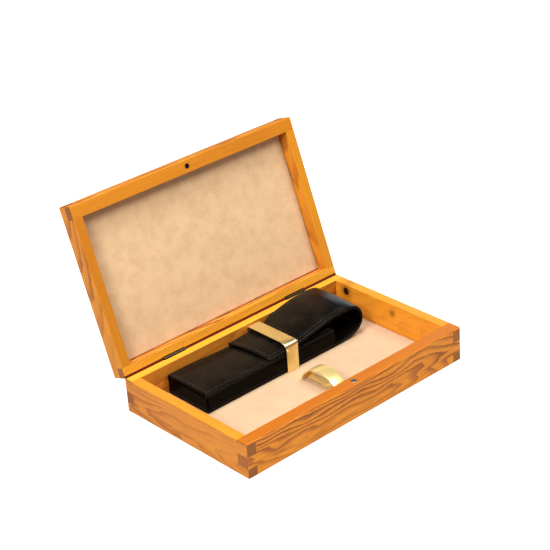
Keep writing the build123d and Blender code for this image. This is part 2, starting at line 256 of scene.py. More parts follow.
def add_bump(tree, shader, height, depth, strength=1.0):
    """Feed a height, in units of depth metres, to the shader's normal."""
    values = {"Height": height, "Distance": depth, "Strength": strength}
    tree.links.new(add_node(tree, "Bump", values).outputs["Normal"], shader.inputs["Normal"])


def turned_point(point, turn):
    """A point turned about X and then about Z, as a Mapping node turns it."""
    x, y, z = point
    tilt, spin = turn[0], turn[2]
    y, z = y * math.cos(tilt) - z * math.sin(tilt), y * math.sin(tilt) + z * math.cos(tilt)
    return x * math.cos(spin) - y * math.sin(spin), x * math.sin(spin) + y * math.cos(spin), z


honey, late_brown, end_brown = colour(214, 139, 38), colour(142, 66, 16), colour(112, 50, 24)
board_bump = 0.00004


def board_material(name, centre, turn, pith, along=0.0, knots=(), stain=None, **grain):
    """Lacquered softwood for one board.

    The object's own coordinates are turned so that x lies along the grain, then moved so
    that the board's centre stands at pith from the tree's middle.  knots lists each knot's
    place along and up the board, its width, its height and its darkness.  The argument after
    knots is painted shade for the hinge gap: a line along X and the distances from it where
    the painted shade is full and where it ends.
    """
    made, tree, shader = new_material(
        name, Coat_Weight=0.05, Coat_Roughness=0.25, Specular_IOR_Level=0.22
    )
    source = add_node(tree, "TexCoord").outputs
    turned = add_node(tree, "Mapping", {"Vector": source["Object"], "Rotation": turn}).outputs[0]
    facing = add_node(tree, "Mapping", {"Vector": source["Normal"], "Rotation": turn}).outputs[0]
    middle = np.array(turned_point(centre, turn))
    shift = np.array((along, *pith)) - middle
    place = vector_calc(tree, "ADD", turned, tuple(float(part) for part in shift))
    values = {"Pale": honey, "Dark": late_brown, "End": end_brown, **grain}
    values.setdefault("Edge", values["Pale"])
    if knots:
        core, halo = 0.0, 0.0
        for knot_along, knot_up, knot_width, knot_height, darkness in knots:
            spot = (knot_along + along - middle[0], 0.0, knot_up + pith[1] - middle[2])
            offset = vector_calc(tree, "SUBTRACT", place, spot)
            offset = stretched(tree, offset, (2 / knot_width, 0.0, 2 / knot_height))
            away = vector_length(tree, offset)
            core = calc(tree, "ADD", core, spread(tree, away, 0.75, 1.15, darkness, 0.0))
            halo = calc(tree, "ADD", halo, spread(tree, away, 0.9, 3.0, 1.0, 0.0))
        values.update(Knot=core, Halo=halo)
    # Painted shade: the wood is painted red-brown near the hinge line, for the shadow in the gap there.
    if stain:
        line, full, clear = stain
        offset = vector_calc(tree, "SUBTRACT", source["Object"], line)
        away = vector_length(tree, stretched(tree, offset, (0.0, 1.0, 1.0)))
        values["Stain"] = spread(tree, away, full, clear, 1.0, 0.0)
    wood = place_group(tree, softwood, Position=place, Normal=facing, **values)
    tree.links.new(wood["Color"], shader.inputs["Base Color"])
    tree.links.new(wood["Roughness"], shader.inputs["Roughness"])
    add_bump(tree, shader, wood["Height"], board_bump)
    return made


def node_centre(node):
    """The middle of a CAD node's box."""
    low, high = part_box(node)
    return (low + high) / 2


def dress(node, made):
    """Give a CAD node one material."""
    slots = frame["nodes"][node].data.materials
    slots.clear()
    slots.append(made)


quarter = math.pi / 2
base_lengthwise, base_sideways = (0, 0, 0), (0, 0, -quarter)
lid_lengthwise, lid_sideways = (swing, 0, 0), (swing, 0, -quarter)
box_boards = [
    # node, its turn, its centre from the pith, its place along the tree, and its figure
    # Painted light: the front board's face is given a lighter colour, for the little light that reaches
    # it, and its rim a darker one, for the light it catches.
    ("base_front_board", base_lengthwise, (0.034, 0.004), 0.10, dict(
        Lean=0.03, Ripple=0.013, Ring_Width=0.0015, Contrast=0.85,
        Pale=colour(236, 148, 34), Edge=colour(184, 108, 22))),
    ("base_back_board", base_lengthwise, (0.040, -0.010), 0.55, dict(
        Lean=0.02, Ripple=0.005, Contrast=0.7, Pale=colour(220, 140, 48), Edge=colour(226, 166, 48))),
    ("base_left_board", base_sideways, (0.038, 0.004), 0.95, dict(
        Lean=0.03, Ripple=0.009, Contrast=0.8, Pale=colour(214, 138, 42), Edge=colour(206, 140, 40))),
    ("base_right_board", base_sideways, (0.045, 0.002), 1.40, dict(
        Lean=0.05, Ripple=0.006, Contrast=0.6, Pale=colour(236, 156, 42), Edge=colour(210, 142, 36))),
    ("lid_front_board", lid_lengthwise, (0.042, 0.004), 1.90, dict(
        Lean=0.02, Ripple=0.004, Contrast=0.8, Edge=colour(198, 127, 30))),
    ("lid_back_board", lid_lengthwise, (0.050, 0.010), 2.30, dict(
        Lean=0.03, Ripple=0.004, Contrast=0.9, Pale=colour(226, 146, 46), Edge=colour(224, 160, 46))),
    ("lid_left_board", lid_sideways, (0.044, -0.004), 2.70, dict(
        Lean=0.05, Ripple=0.004, Contrast=0.7, Edge=colour(188, 120, 30))),
    ("lid_right_board", lid_sideways, (0.036, 0.004), 3.10, dict(
        Lean=0.04, Ripple=0.004, Contrast=0.7, Edge=colour(206, 136, 32))),
]
board_knots = {
    "base_right_board": ((0.0455, 0.0215, 0.0060, 0.0066, 1.0), (-0.0034, 0.0196, 0.0032, 0.0030, 0.3)),
}
# Painted shade: the two boards that the hinges join are painted darker where they meet,
# for the shadow in the gap between them.
seam_line = (0.0, 0.0637, 0.0274)
seam_gap_shades = {
    "base_back_board": (seam_line, 0.0008, 0.0011),
    "lid_back_board": (seam_line, 0.0011, 0.0015),
}
for node, turn, pith, along, figure in box_boards:
    figure.setdefault("Ring_Width", 0.0013)
    knots, stain = board_knots.get(node, ()), seam_gap_shades.get(node)
    dress(node, board_material(node, node_centre(node), turn, pith, along, knots, stain, **figure))


# ---- Panels -----------------------------------------------------------------------------
# Thin boards of the same softwood, let into rebates and flush with the outer faces.
panel_figure = {"Lean": 0.03, "Ripple": 0.012, "Ring_Width": 0.0024}
panel_pith = (0.002, 0.060)
panel_turns = (("base_bottom_panel", base_lengthwise, 3.6), ("lid_top_panel", lid_lengthwise, 4.3))
for node, turn, along in panel_turns:
    dress(node, board_material(node, node_centre(node), turn, panel_pith, along, **panel_figure))


# ---- Linings ----------------------------------------------------------------------------
# Two sheets of soft suede cloth, glued to stiff grey card that lies on each panel.  The nap is
# brushed here and there, so it looks darker and lighter in soft patches.
def suede_group():
    """A brushed nap: slow pale and dark patches, a fine fleck, and a soft fine height."""
    small_scale, fleck_scale, hair_scale = 6.0, 2600.0, (5200.0, 1700.0, 1700.0)
    tree, given, out = open_group(
        "suede_nap",
        [
            ("Position", "Vector", None),
            ("Base", "Color", white),
            ("Shade", "Color", black),
            ("Patch Size", "Float", 0.02),
            ("Fleck", "Float", 0.25),
        ],
        [("Color", "Color"), ("Height", "Float")],
    )
    place = given["Position"]
    patch_scale = calc(tree, "DIVIDE", 1.0, given["Patch Size"])
    broad = noise(tree, place, patch_scale, 4.0, 0.62)
    small = noise(tree, place, calc(tree, "MULTIPLY", patch_scale, small_scale), 2.0, 0.6)
    fine = noise(tree, place, fleck_scale, 2.0, 0.7)
    hairs = noise(tree, stretched(tree, place, hair_scale), 1.0, 1.0)
    amount = spread(tree, calc(tree, "MULTIPLY_ADD", small, 0.3, broad), 0.48, 0.86)
    fleck = calc(tree, "MULTIPLY", calc(tree, "SUBTRACT", fine, 0.5), given["Fleck"])
    amount = calc(tree, "ADD", amount, calc(tree, "MULTIPLY", fleck, 3.0))
    amount = add_node(tree, "Clamp", {0: amount}).outputs[0]
    tree.links.new(blend_colour(tree, amount, given["Base"], given["Shade"]), out["Color"])
    tree.links.new(calc(tree, "MULTIPLY_ADD", hairs, 0.5, fine), out["Height"])
    return tree


suede = suede_group()
nap_bump, nap_strength = 0.00012, 0.8


def suede_material(name, base, shade, patch_size):
    """Brushed suede cloth."""
    made, tree, shader = new_material(
        name, Roughness=0.95, Specular_IOR_Level=0.12, Sheen_Weight=0.25, Sheen_Roughness=0.5
    )
    place = add_node(tree, "TexCoord").outputs["Object"]
    nap = place_group(tree, suede, Position=place, Base=base, Shade=shade, Patch_Size=patch_size)
    tree.links.new(nap["Color"], shader.inputs["Base Color"])
    add_bump(tree, shader, nap["Height"], nap_bump, nap_strength)
    return made


def grid_faces(rows, columns, wrap=False):
    """Quads of a grid of rows by columns, in row order; wrap joins its last column to its first."""
    across = np.arange(columns if wrap else columns - 1)
    row, column = np.meshgrid(np.arange(rows - 1), across, indexing="ij")
    first = row * columns + column
    second = row * columns + (column + 1) % columns
    return np.stack((first, second, second + columns, first + columns), axis=-1).reshape(-1, 4)


def new_piece(name, points, faces, made, body, stands_for):
    """A smooth mesh from points in metres, dressed, riding on a body and replacing a CAD node."""
    places = np.asarray(points, float).reshape(-1, 3).tolist()
    mesh = bpy.data.meshes.new(name)
    mesh.from_pydata(places, [], [list(map(int, face)) for face in faces])
    mesh.materials.append(made)
    mesh.polygons.foreach_set("use_smooth", [True] * len(mesh.polygons))
    mesh.validate()
    mesh.update()
    piece = bpy.data.objects.new(name, mesh)
    bpy.context.scene.collection.objects.link(piece)
    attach(piece, body)
    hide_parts(stands_for)
    return piece


hinge_y, hinge_z = lid_joint["pos_m"][1:]
closed_height = 0.0415


def lid_place(points):
    """Points on the shut lid, as the open lid holds them; z is counted from its outer face."""
    x, y, z = np.moveaxis(np.asarray(points, float), -1, 0)
    out, rise = y - hinge_y, closed_height - z - hinge_z
    turned_y = hinge_y + out * math.cos(swing) + rise * math.sin(swing)
    turned_z = hinge_z - out * math.sin(swing) + rise * math.cos(swing)
    return np.stack((x, turned_y, turned_z), axis=-1)


cloth_size = (0.1934, 0.1104)
cloth_centre_y = 0.001
cloth_top = 0.0043
cloth_thickness = 0.0004
wave_height = 0.00002
edge_width, edge_drop = 0.0012, 0.00006


def lining_points(seed):
    """A flat grid whose glued cloth lies a few hundredths of a millimetre uneven.

    Height is the cloth's top, less a few slow waves, and the last millimetre at the edge
    turns down towards the card.
    """
    x = np.linspace(-cloth_size[0] / 2, cloth_size[0] / 2, 195)
    y = np.linspace(-cloth_size[1] / 2, cloth_size[1] / 2, 111)
    x, y = np.meshgrid(x, y, indexing="ij")
    wave = np.zeros_like(x)
    for number in range(1, 5):
        phase = seed * 1.7 + number * 2.1
        wave += np.sin(number * 31 * x + phase) * np.sin(number * 37 * y - 1.3 * phase) / number
    from_edge = np.minimum(cloth_size[0] / 2 - abs(x), cloth_size[1] / 2 - abs(y))
    drop = edge_drop * np.clip(1 - from_edge / edge_width, 0, 1) ** 2
    return np.stack((x, y + cloth_centre_y, cloth_top - wave_height * (1.6 - wave) - drop), axis=-1)


def lay_lining(body, points, made, inward):
    """A body's sheet of cloth, with its real thickness below its face."""
    name = body + "_lining_cloth"
    faces = grid_faces(*points.shape[:2])[:, ::inward]
    piece = new_piece(name + "_piece", points, faces, made, body, name)
    thick = piece.modifiers.new("cloth", "SOLIDIFY")
    thick.thickness = cloth_thickness
    thick.offset = -1.0


base_suede = suede_material("base_suede", colour(196, 166, 135), colour(191, 159, 127), 0.010)
lid_suede = suede_material("lid_suede", colour(206, 173, 135), colour(195, 161, 123), 0.011)
lay_lining("base", lining_points(1), base_suede, -1)
lay_lining("lid", lid_place(lining_points(2)), lid_suede, 1)

card, tree, shader = new_material("lining_card", Roughness=0.9, Specular_IOR_Level=0.2)
place = add_node(tree, "TexCoord").outputs["Object"]
pulp = noise(tree, stretched(tree, place, (900.0, 260.0, 900.0)), 1.0, 3.0, 0.7)
grey = blend_colour(tree, spread(tree, pulp, 0.3, 0.7), colour(150, 144, 132), colour(112, 106, 96))
tree.links.new(grey, shader.inputs["Base Color"])
add_bump(tree, shader, pulp, 0.00006)
for node in ("base_lining_card", "lid_lining_card"):
    dress(node, card)


# ---- Brass strap and pen loop -----------------------------------------------------------
# Two strips of gilt brass, brushed lengthwise.  The strap stands on the bottom panel over the
# pouch; the pen loop is bent to an arch, and its narrowed ends lap over each other below it.
def brushed_group():
    """Fine scratches along a strip, with soft cloudy wear: colour, roughness and height."""
    cloud_scale, cloud_share, line_share = (0.03, 1.0, 1.0), 0.6, 0.4
    tree, given, out = open_group(
        "brushed_metal",
        [
            ("Position", "Vector", None),
            ("Bright", "Color", white),
            ("Dull", "Color", black),
            ("Smooth", "Float", 0.2),
            ("Rough", "Float", 0.4),
        ],
        [("Color", "Color"), ("Roughness", "Float"), ("Height", "Float")],
    )
    lines = noise(tree, given["Position"], 1.0, 3.0, 0.7)
    cloud = noise(tree, stretched(tree, given["Position"], cloud_scale), 0.7, 1.0, 0.5)
    amount = calc(tree, "MULTIPLY", lines, line_share)
    amount = calc(tree, "MULTIPLY_ADD", spread(tree, cloud, 0.35, 0.75), cloud_share, amount)
    tree.links.new(blend_colour(tree, amount, given["Bright"], given["Dull"]), out["Color"])
    span = calc(tree, "SUBTRACT", given["Rough"], given["Smooth"])
    tree.links.new(calc(tree, "MULTIPLY_ADD", amount, span, given["Smooth"]), out["Roughness"])
    tree.links.new(lines, out["Height"])
    return tree


brushed = brushed_group()


def metal_material(name, bright, dull, brush, smooth, rough, depth, metallic=1.0):
    """Brushed or satin metal; brush scales the pattern along each axis."""
    made, tree, shader = new_material(name, Metallic=metallic)
    place = stretched(tree, add_node(tree, "TexCoord").outputs["Object"], brush)
    values = {"Bright": bright, "Dull": dull, "Smooth": smooth, "Rough": rough}
    worn = place_group(tree, brushed, Position=place, **values)
    tree.links.new(worn["Color"], shader.inputs["Base Color"])
    tree.links.new(worn["Roughness"], shader.inputs["Roughness"])
    add_bump(tree, shader, worn["Height"], depth)
    return made


brushing = (2600.0, 60.0, 60.0)
# Painted light: both strips are the same gilt brass, but the strap's colour is darkened for the bright
# lining it reflects, and the loop's is lightened and made less metallic for the light its arch catches.
strap_gilt_painted_darker = metal_material(
    "strap_gilt_painted_darker", colour(243, 226, 162), colour(231, 203, 127), brushing, 0.24, 0.34, 0.0000002, 0.9
)
loop_gilt_painted_lighter = metal_material(
    "loop_gilt_painted_lighter", colour(253, 236, 172), colour(243, 214, 136), brushing, 0.22, 0.34, 0.0000004, 0.6
)


def distance_along(path):
    """Each point's distance from the start of a path."""
    gaps = np.linalg.norm(np.diff(path, axis=0), axis=1)
    return np.concatenate(([0.0], np.cumsum(gaps)))


def even_path(corners, step, softness):
    """A polyline with evenly spaced points and its corners eased.

    Each point is moved to the mean of the path within softness of it, twice over; the two
    ends are drawn out straight first, so that they stay where they are.
    """
    corners = np.asarray(corners, float)
    along = distance_along(corners)
    count = int(round(along[-1] / step)) + 1
    places = np.linspace(0.0, along[-1], count)
    points = np.stack([np.interp(places, along, corners[:, axis]) for axis in (0, 1)], axis=-1)
    reach = max(1, int(round(softness / step)))
    for _ in range(2):
        first = points[0] + (points[0] - points[1]) * np.arange(reach, 0, -1)[:, None]
        last = points[-1] + (points[-1] - points[-2]) * np.arange(1, reach + 1)[:, None]
        longer = np.concatenate((first, points, last))
        total = np.cumsum(np.concatenate((np.zeros((1, 2)), longer)), axis=0)
        points = (total[2 * reach + 1:] - total[:-2 * reach - 1]) / (2 * reach + 1)
    return points


def path_normals(path):
    """Unit normals of a planar path, a quarter turn anticlockwise from its direction."""
    direction = np.gradient(path, axis=0)
    direction /= np.linalg.norm(direction, axis=1)[:, None]
    return np.stack((-direction[:, 1], direction[:, 0]), axis=-1)


def strip_ring(round_steps=4):
    """A rounded oblong's outline as unit corners and their directions.

    Each point is (side, face, across, up): a corner of the section, and the part of the edge
    radius that is added to it.
    """
    rows = []
    for side, face, start in ((1, 1, 0.0), (-1, 1, 0.5), (-1, -1, 1.0), (1, -1, 1.5)):
        for angle in (start + 0.5 * np.arange(round_steps + 1) / round_steps) * math.pi:
            rows.append((side, face, math.cos(angle), math.sin(angle)))
    return np.array(rows)


strip_thickness, strip_edge = 0.0008, 0.00022
strip_centre, strip_half_width = 0.0075, 0.0055


def swept_strip(path, centre, half_width):
    """A strip's section carried along a path in YZ.

    A point is the path plus its normal times the section's height, and stands across X at
    the strip's centre plus its half width.  Both may change along the path.
    """
    ring = strip_ring()
    across = (half_width[:, None] - strip_edge) * ring[:, 0] + strip_edge * ring[:, 2]
    across = centre[:, None] + across
    up = (strip_thickness / 2 - strip_edge) * ring[:, 1] + strip_edge * ring[:, 3]
    places = path[:, None, :] + path_normals(path)[:, None, :] * up[None, :, None]
    return np.concatenate((across[..., None], places), axis=-1)


def capped(points, flip=False):
    """Faces of a swept ring, with both ends closed; flip turns them inside out."""
    rows, columns = points.shape[:2]
    faces = [list(face) for face in grid_faces(rows, columns, wrap=True)]
    faces.append(list(range(columns))[::-1])
    faces.append(list(range((rows - 1) * columns, rows * columns)))
    return [face[::-1] for face in faces] if flip else faces


strap_low_y, strap_high_y, strap_foot, strap_top = 0.0108, 0.0546, 0.003, 0.028
strap_step, tight_fold, loose_fold = 0.0003, 0.0018, 0.0052
half = strip_thickness / 2
strap_corners = [
    (strap_low_y + half, strap_foot),
    (strap_low_y + half, strap_top - half),
    (strap_high_y - half, strap_top - half),
    (strap_high_y - half, strap_foot),
]


def bent_strap(softness):
    """The strap with its two folds eased by one amount."""
    path = even_path(strap_corners, strap_step, softness)
    return swept_strip(path, np.full(len(path), strip_centre), np.full(len(path), strip_half_width))


# The front fold is tighter along the strip's right edge than along its left.
strap = bent_strap(tight_fold)
fold_share = 0.5 - (strap[..., 0] - strip_centre) / (2 * strip_half_width)
fold_share = fold_share * np.clip((0.030 - strap[..., 1]) / 0.006, 0, 1)
strap += (bent_strap(loose_fold) - strap) * fold_share[..., None]
strap_faces = capped(strap, True)
new_piece("pouch_strap_piece", strap, strap_faces, strap_gilt_painted_darker, "base", "pouch_strap")

# The arch is part of a circle in YZ; each tab runs 2 mm past the middle, the upper on the lower.
loop_radius, loop_y, loop_z = 0.0206, -0.0216, -0.0027
tab_overrun, tab_half_width, tab_centre = 0.002, 0.00325, 0.00975
lower_tab, upper_tab = cloth_top + half + 0.00002, cloth_top + 1.5 * strip_thickness + 0.00005
front_angle = math.pi - math.asin((lower_tab - loop_z) / loop_radius)
back_angle = math.asin((upper_tab - loop_z) / loop_radius)
turn = np.linspace(front_angle, back_angle, 120)
arch = np.stack((loop_y + loop_radius * np.cos(turn), loop_z + loop_radius * np.sin(turn)), axis=-1)
tab_ends = [(loop_y + tab_overrun, lower_tab)], [(loop_y - tab_overrun, upper_tab)]
loop_path = even_path(np.concatenate((tab_ends[0], arch, tab_ends[1])), 0.0002, 0.0004)
# The strip is full width on the arch, and narrows over half a millimetre where the tabs begin.
above = np.clip((abs(loop_path[:, 0] - loop_y) - 0.0176) / 0.0005, 0, 1)
above[loop_path[:, 1] > 0.007] = 1.0
loop_half_width = tab_half_width + (strip_half_width - tab_half_width) * above
loop_centre = tab_centre + (strip_centre - tab_centre) * above
pen_loop = swept_strip(loop_path, loop_centre, loop_half_width)
loop_faces = capped(pen_loop, True)
new_piece("pen_loop_piece", pen_loop, loop_faces, loop_gilt_painted_lighter, "base", "pen_loop")


# ---- Pouch ------------------------------------------------------------------------------
# A pen pouch of black leather.  One long strip is its back, turns up in a loop past the open
# end and comes back as the flap; the front panel and the polished side wall are sewn to it.
def leather_group():
    """Leather's grain: small soft pebbles, brown mottling and worn gloss; cut edges are black."""
    warp_scale, warp_size, mottle_scale, fine_scale = 300.0, (0.0012,) * 3, 70.0, 1800.0
    edge_paint = (0.0006, 0.0005, 0.0004, 1)
    tree, given, out = open_group(
        "leather_grain",
        [
            ("Position", "Vector", None),
            ("Normal", "Vector", None),
            ("Base", "Color", black),
            ("Warm", "Color", black),
            ("Pebble", "Float", 0.0008),
            ("Smooth", "Float", 0.3),
            ("Rough", "Float", 0.5),
        ],
        [("Color", "Color"), ("Roughness", "Float"), ("Height", "Float")],
    )
    place = given["Position"]
    values = {"Vector": place, "Scale": warp_scale, "Detail": 2.0}
    warp = add_node(tree, "TexNoise", values).outputs["Color"]
    bent = vector_calc(tree, "ADD", place, stretched(tree, warp, warp_size))
    scale = calc(tree, "DIVIDE", 1.0, given["Pebble"])
    values = {"Vector": bent, "Scale": scale}
    cells = add_node(tree, "TexVoronoi", values, feature="SMOOTH_F1").outputs["Distance"]
    mottle = noise(tree, place, mottle_scale, 4.0, 0.6)
    fine = noise(tree, place, fine_scale, 2.0, 0.6)
    warm = spread(tree, mottle, 0.42, 0.72)
    sides = add_node(tree, "SeparateXYZ", {0: given["Normal"]}).outputs
    face = spread(tree, calc(tree, "ABSOLUTE", sides[2]), 0.45, 0.85)
    shade = blend_colour(tree, warm, given["Base"], given["Warm"])
    tree.links.new(blend_colour(tree, face, edge_paint, shade), out["Color"])
    span = calc(tree, "SUBTRACT", given["Rough"], given["Smooth"])
    worn = spread(tree, calc(tree, "MULTIPLY_ADD", fine, 0.4, mottle), 0.4, 1.0)
    tree.links.new(calc(tree, "MULTIPLY_ADD", worn, span, given["Smooth"]), out["Roughness"])
    tree.links.new(calc(tree, "MULTIPLY_ADD", fine, 0.3, cells), out["Height"])
    return tree


leather = leather_group()


def leather_material(name, base, warm, pebble, gloss, depth, specular):
    """Dyed leather; gloss is the least and the greatest roughness."""
    made, tree, shader = new_material(name, Specular_IOR_Level=specular)
    source = add_node(tree, "TexCoord").outputs
    values = {"Base": base, "Warm": warm, "Pebble": pebble, "Smooth": gloss[0], "Rough": gloss[1]}
    values.update(Position=source["Object"], Normal=source["Normal"])
    hide = place_group(tree, leather, **values)
    tree.links.new(hide["Color"], shader.inputs["Base Color"])
    tree.links.new(hide["Roughness"], shader.inputs["Roughness"])
    add_bump(tree, shader, hide["Height"], depth)
    return made


satin_dyes = colour(11, 9, 7), colour(25, 19, 14)
gloss_dyes = colour(5, 5, 5), colour(10, 8, 7)
satin, polish = (0.24, 0.40), (0.1, 0.18)
satin_leather = leather_material("pouch_leather", *satin_dyes, 0.0009, satin, 0.00005, 0.12)
gloss_leather = leather_material("pouch_gloss_leather", *gloss_dyes, 0.0012, polish, 0.00002, 0.04)

pouch_left, pouch_right = -0.0745, 0.051
pouch_front, pouch_back = 0.0119, 0.0535
pouch_middle = (pouch_front + pouch_back) / 2
pouch_half = (pouch_back - pouch_front) / 2
panel_low, panel_top, panel_crown = 0.0175, 0.0195, 0.0020
free_spread = 0.0022


def spare_width(x):
    """How far the closed end spreads backwards, where the strap doesn't hold the pouch in."""
    share = np.clip((-0.014 - x) / 0.045, 0, 1)
    return free_spread * share * share * (3 - 2 * share)


def crown_at(y):
    """How far a stuffed panel rises at y: nothing at its edges, and most along its middle."""
    share = np.clip(1 - ((y - pouch_middle) / pouch_half) ** 2, 0, 1)
    return share ** 0.75


def panel_height(x, y):
    """The body's top face: its crown fades towards the closed end."""
    end = np.clip((x - pouch_left) / 0.016, 0, 1)
    return panel_top + panel_crown * crown_at(y) * (0.35 + 0.65 * end * (2 - end))


def rounding(distance, radius):
    """How far a rounded corner stands back from its two edges, at a distance from its start."""
    left = 1 - np.clip(distance / radius, 0, 1)
    return radius * (1 - np.sqrt(np.clip(1 - left ** 2, 0, 1)))


def slab_ring(count=24, round_steps=5):
    """A leather slab's section as (across, up, side).

    Across runs from -1 to 1, and up is 1 on the slab's face and -1 below it.  Side is the
    share of the edge radius by which a point stands inside the slab's edge.
    """
    flat = np.sin(np.linspace(-0.5, 0.5, count) * math.pi)
    turn = np.linspace(0.5, -0.5, 2 * round_steps + 1)[1:-1] * math.pi
    rows = [(share, 1.0, 1.0) for share in flat]
    rows += [(1.0, math.sin(angle), 1 - math.cos(angle)) for angle in turn]
    rows += [(share, -1.0, 1.0) for share in flat[::-1]]
    rows += [(-1.0, math.sin(angle), 1 - math.cos(angle)) for angle in -turn]
    return np.array(rows)


def front_panel_points():
    """The body's top panel, its section carried along X.

    Across is scaled to the half width less the edge's rounding; at both ends the thickness
    draws in along a quarter circle, and at the closed end the width does too.
    """
    edge, corner, steps = 0.0006, 0.0013, 7
    ring = slab_ring()
    turn = np.linspace(0.12, 1.0, steps) * math.pi / 2
    left = pouch_left + edge * (1 - np.sin(turn))
    right = pouch_right - edge * (1 - np.sin(turn[::-1]))
    near_end = pouch_left + edge + 0.00025 * np.arange(1, 9)
    middle = np.linspace(near_end[-1], pouch_right - edge, 90)[1:-1]
    x = np.concatenate((left, near_end, middle, right))
    close = np.ones_like(x)
    close[:steps] = np.sin(turn)
    close[-steps:] = np.sin(turn[::-1])
    half_width = pouch_half + spare_width(x) / 2 - rounding(x - pouch_left, corner)
    across = ring[:, 0] * (half_width[:, None] - edge * ring[:, 2])
    across = pouch_middle + spare_width(x)[:, None] / 2 + across
    x = np.repeat(x[:, None], len(ring), axis=1)
    lift = panel_height(x, across) - panel_top
    thick = (panel_top - panel_low) / 2
    z = (panel_top + panel_low) / 2 + lift + thick * ring[:, 1] * close[:, None]
    return np.stack((x, across, z), axis=-1)


def pouch_piece(stands_for, points, faces, made, slot):
    """One piece of the pouch, named after the CAD node that it replaces."""
    new_piece(stands_for + "_piece", points, faces, made, "pouch", stands_for)


panel = front_panel_points()
pouch_piece("pouch_front_panel", panel, capped(panel, True), satin_leather, "pouch_leather")

wall_low, wall_high, wall_thickness = 0.0068, 0.0175, 0.002
wall_hollow = 0.00008


def wall_points():
    """The side wall: an upright section carried round the closed end in plan.

    Its outer face is drawn in by a shallow curve between its two sewn edges.
    """
    inset = wall_thickness / 2
    corners = [
        (pouch_right, pouch_front + inset),
        (pouch_left + inset, pouch_front + inset),
        (pouch_left + inset, pouch_back - inset),
        (pouch_right, pouch_back - inset),
    ]
    path = even_path(corners, 0.0003, 0.0007)
    path[:, 1] += spare_width(path[:, 0]) * (path[:, 1] > pouch_middle)
    up = np.linspace(-1, 1, 13)
    height = (wall_low + wall_high) / 2 + up * (wall_high - wall_low) / 2
    outer = np.stack((-inset + wall_hollow * (1 - up ** 2), height), axis=-1)
    inner = np.stack((np.full(len(up), inset), height), axis=-1)[::-1]
    ring = np.concatenate((outer, inner))
    plan = path[:, None, :] + path_normals(path)[:, None, :] * ring[None, :, :1]
    z = np.broadcast_to(ring[None, :, 1:], (*plan.shape[:2], 1))
    return np.concatenate((plan, z), axis=-1)


wall = wall_points()
pouch_piece("pouch_gusset", wall, capped(wall, True), gloss_leather, "pouch_gloss_leather")

flap_thickness, flap_edge, flap_step = 0.0022, 0.0008, 0.0007
flap_tip, tip_corner, heel_corner = -0.0144, 0.0024, 0.0015
tip_skew, skew_length, flap_lift, flap_crown = 0.0042, 0.02, 0.0010, 0.0021
crown_start, crown_ramp = 0.63, 0.07


def flap_path():
    """The long strip's middle line in XZ, from the closed end below, round the loop, to the tip."""
    low = 0.0046 + flap_thickness / 2
    corners = [
        (pouch_left, low), (0.058, low), (0.068, low + 0.0010), (0.0760, 0.0095),
        (0.0802, 0.0140), (0.0805, 0.0205), (0.0786, 0.0256), (0.0735, 0.0292),
        (0.0680, 0.0298), (0.0600, 0.0299), (0.0500, 0.0296), (0.0400, 0.0277),
        (0.0300, 0.0257), (0.0180, 0.0234), (0.0, 0.0216), (flap_tip, 0.0208),
    ]
    return even_path(corners, flap_step, 0.0028)


def flap_points():
    """The strip's section carried along its path, crowned over the body and in the loop.

    A point is the path plus its normal times the section's height and crown, and the corners
    are rounded at both ends.  Towards the back the flap is a little wider and higher where it
    isn't under the strap, and its tip runs slightly askew.
    """
    ring = slab_ring()
    path = flap_path()
    along = distance_along(path)
    length = along[-1]
    from_tip = length - along
    near_end = np.clip((np.minimum(from_tip, along) + 0.0001) / flap_edge, 0, 1)
    close = np.sqrt(np.clip(1 - (1 - near_end) ** 2, 0.02, 1))
    draw_in = rounding(from_tip, tip_corner) + rounding(along, heel_corner)
    half_width = (pouch_half - draw_in)[:, None]
    across = pouch_middle + ring[:, 0] * (half_width - flap_edge * ring[:, 2])
    over = np.clip((along - length * crown_start) / (length * crown_ramp), 0, 1)
    crown = (flap_crown * over)[:, None] * crown_at(across)
    up = flap_thickness / 2 * ring[:, 1] * close[:, None] + crown
    places = path[:, None, :] - path_normals(path)[:, None, :] * up[..., None]
    x, z = places[..., 0], places[..., 1]
    back = np.clip((across - pouch_front) / (2 * pouch_half), 0, 1)
    skew = np.clip(1 - from_tip / skew_length, 0, 1)[:, None]
    high = np.clip((z - 0.0205) / 0.004, 0, 1) * np.clip((x - 0.0185) / 0.007, 0, 1)
    low_end = np.clip((0.012 - path[:, 1]) / 0.002, 0, 1)[:, None]
    flare = 0.0016 * skew * np.clip((-0.0125 - x) / 0.003, 0, 1)
    spread_back = spare_width(x) * low_end + free_spread * high + flare
    moves = (-tip_skew * skew * back, spread_back * back, flap_lift * high * back)
    return np.stack((x, across, z), axis=-1) + np.stack(moves, axis=-1)


flap = flap_points()
pouch_piece("pouch_back_and_flap", flap, capped(flap), satin_leather, "pouch_leather")

lining_low = (-0.0724, 0.0139, 0.0068)
lining_high = (0.0509, 0.0515, 0.0175)
lining_wall, lining_corner, lining_gap = 0.0006, 0.0015, 0.00005


def lining_cup(count=30):
    """The pouch's lining: a rounded oblong section carried out along X and back inside itself.

    The last point of each side is the lip at the open end, and the closed end is flat.
    """
    outside = np.linspace(lining_low[0], lining_high[0], count)
    inside = np.linspace(lining_high[0], lining_low[0] + lining_wall, count)
    x = np.concatenate((outside, inside))
    inset = np.repeat((lining_gap, lining_wall), count)[:, None]
    ring = strip_ring(5)
    sides = []
    for axis, part, turn in ((1, 0, 2), (2, 1, 3)):
        middle = (lining_low[axis] + lining_high[axis]) / 2
        flat = (lining_high[axis] - lining_low[axis]) / 2 - inset - lining_corner
        sides.append(middle + flat * ring[:, part] + lining_corner * ring[:, turn])
    return np.stack((np.repeat(x[:, None], len(ring), axis=1), *sides), axis=-1)


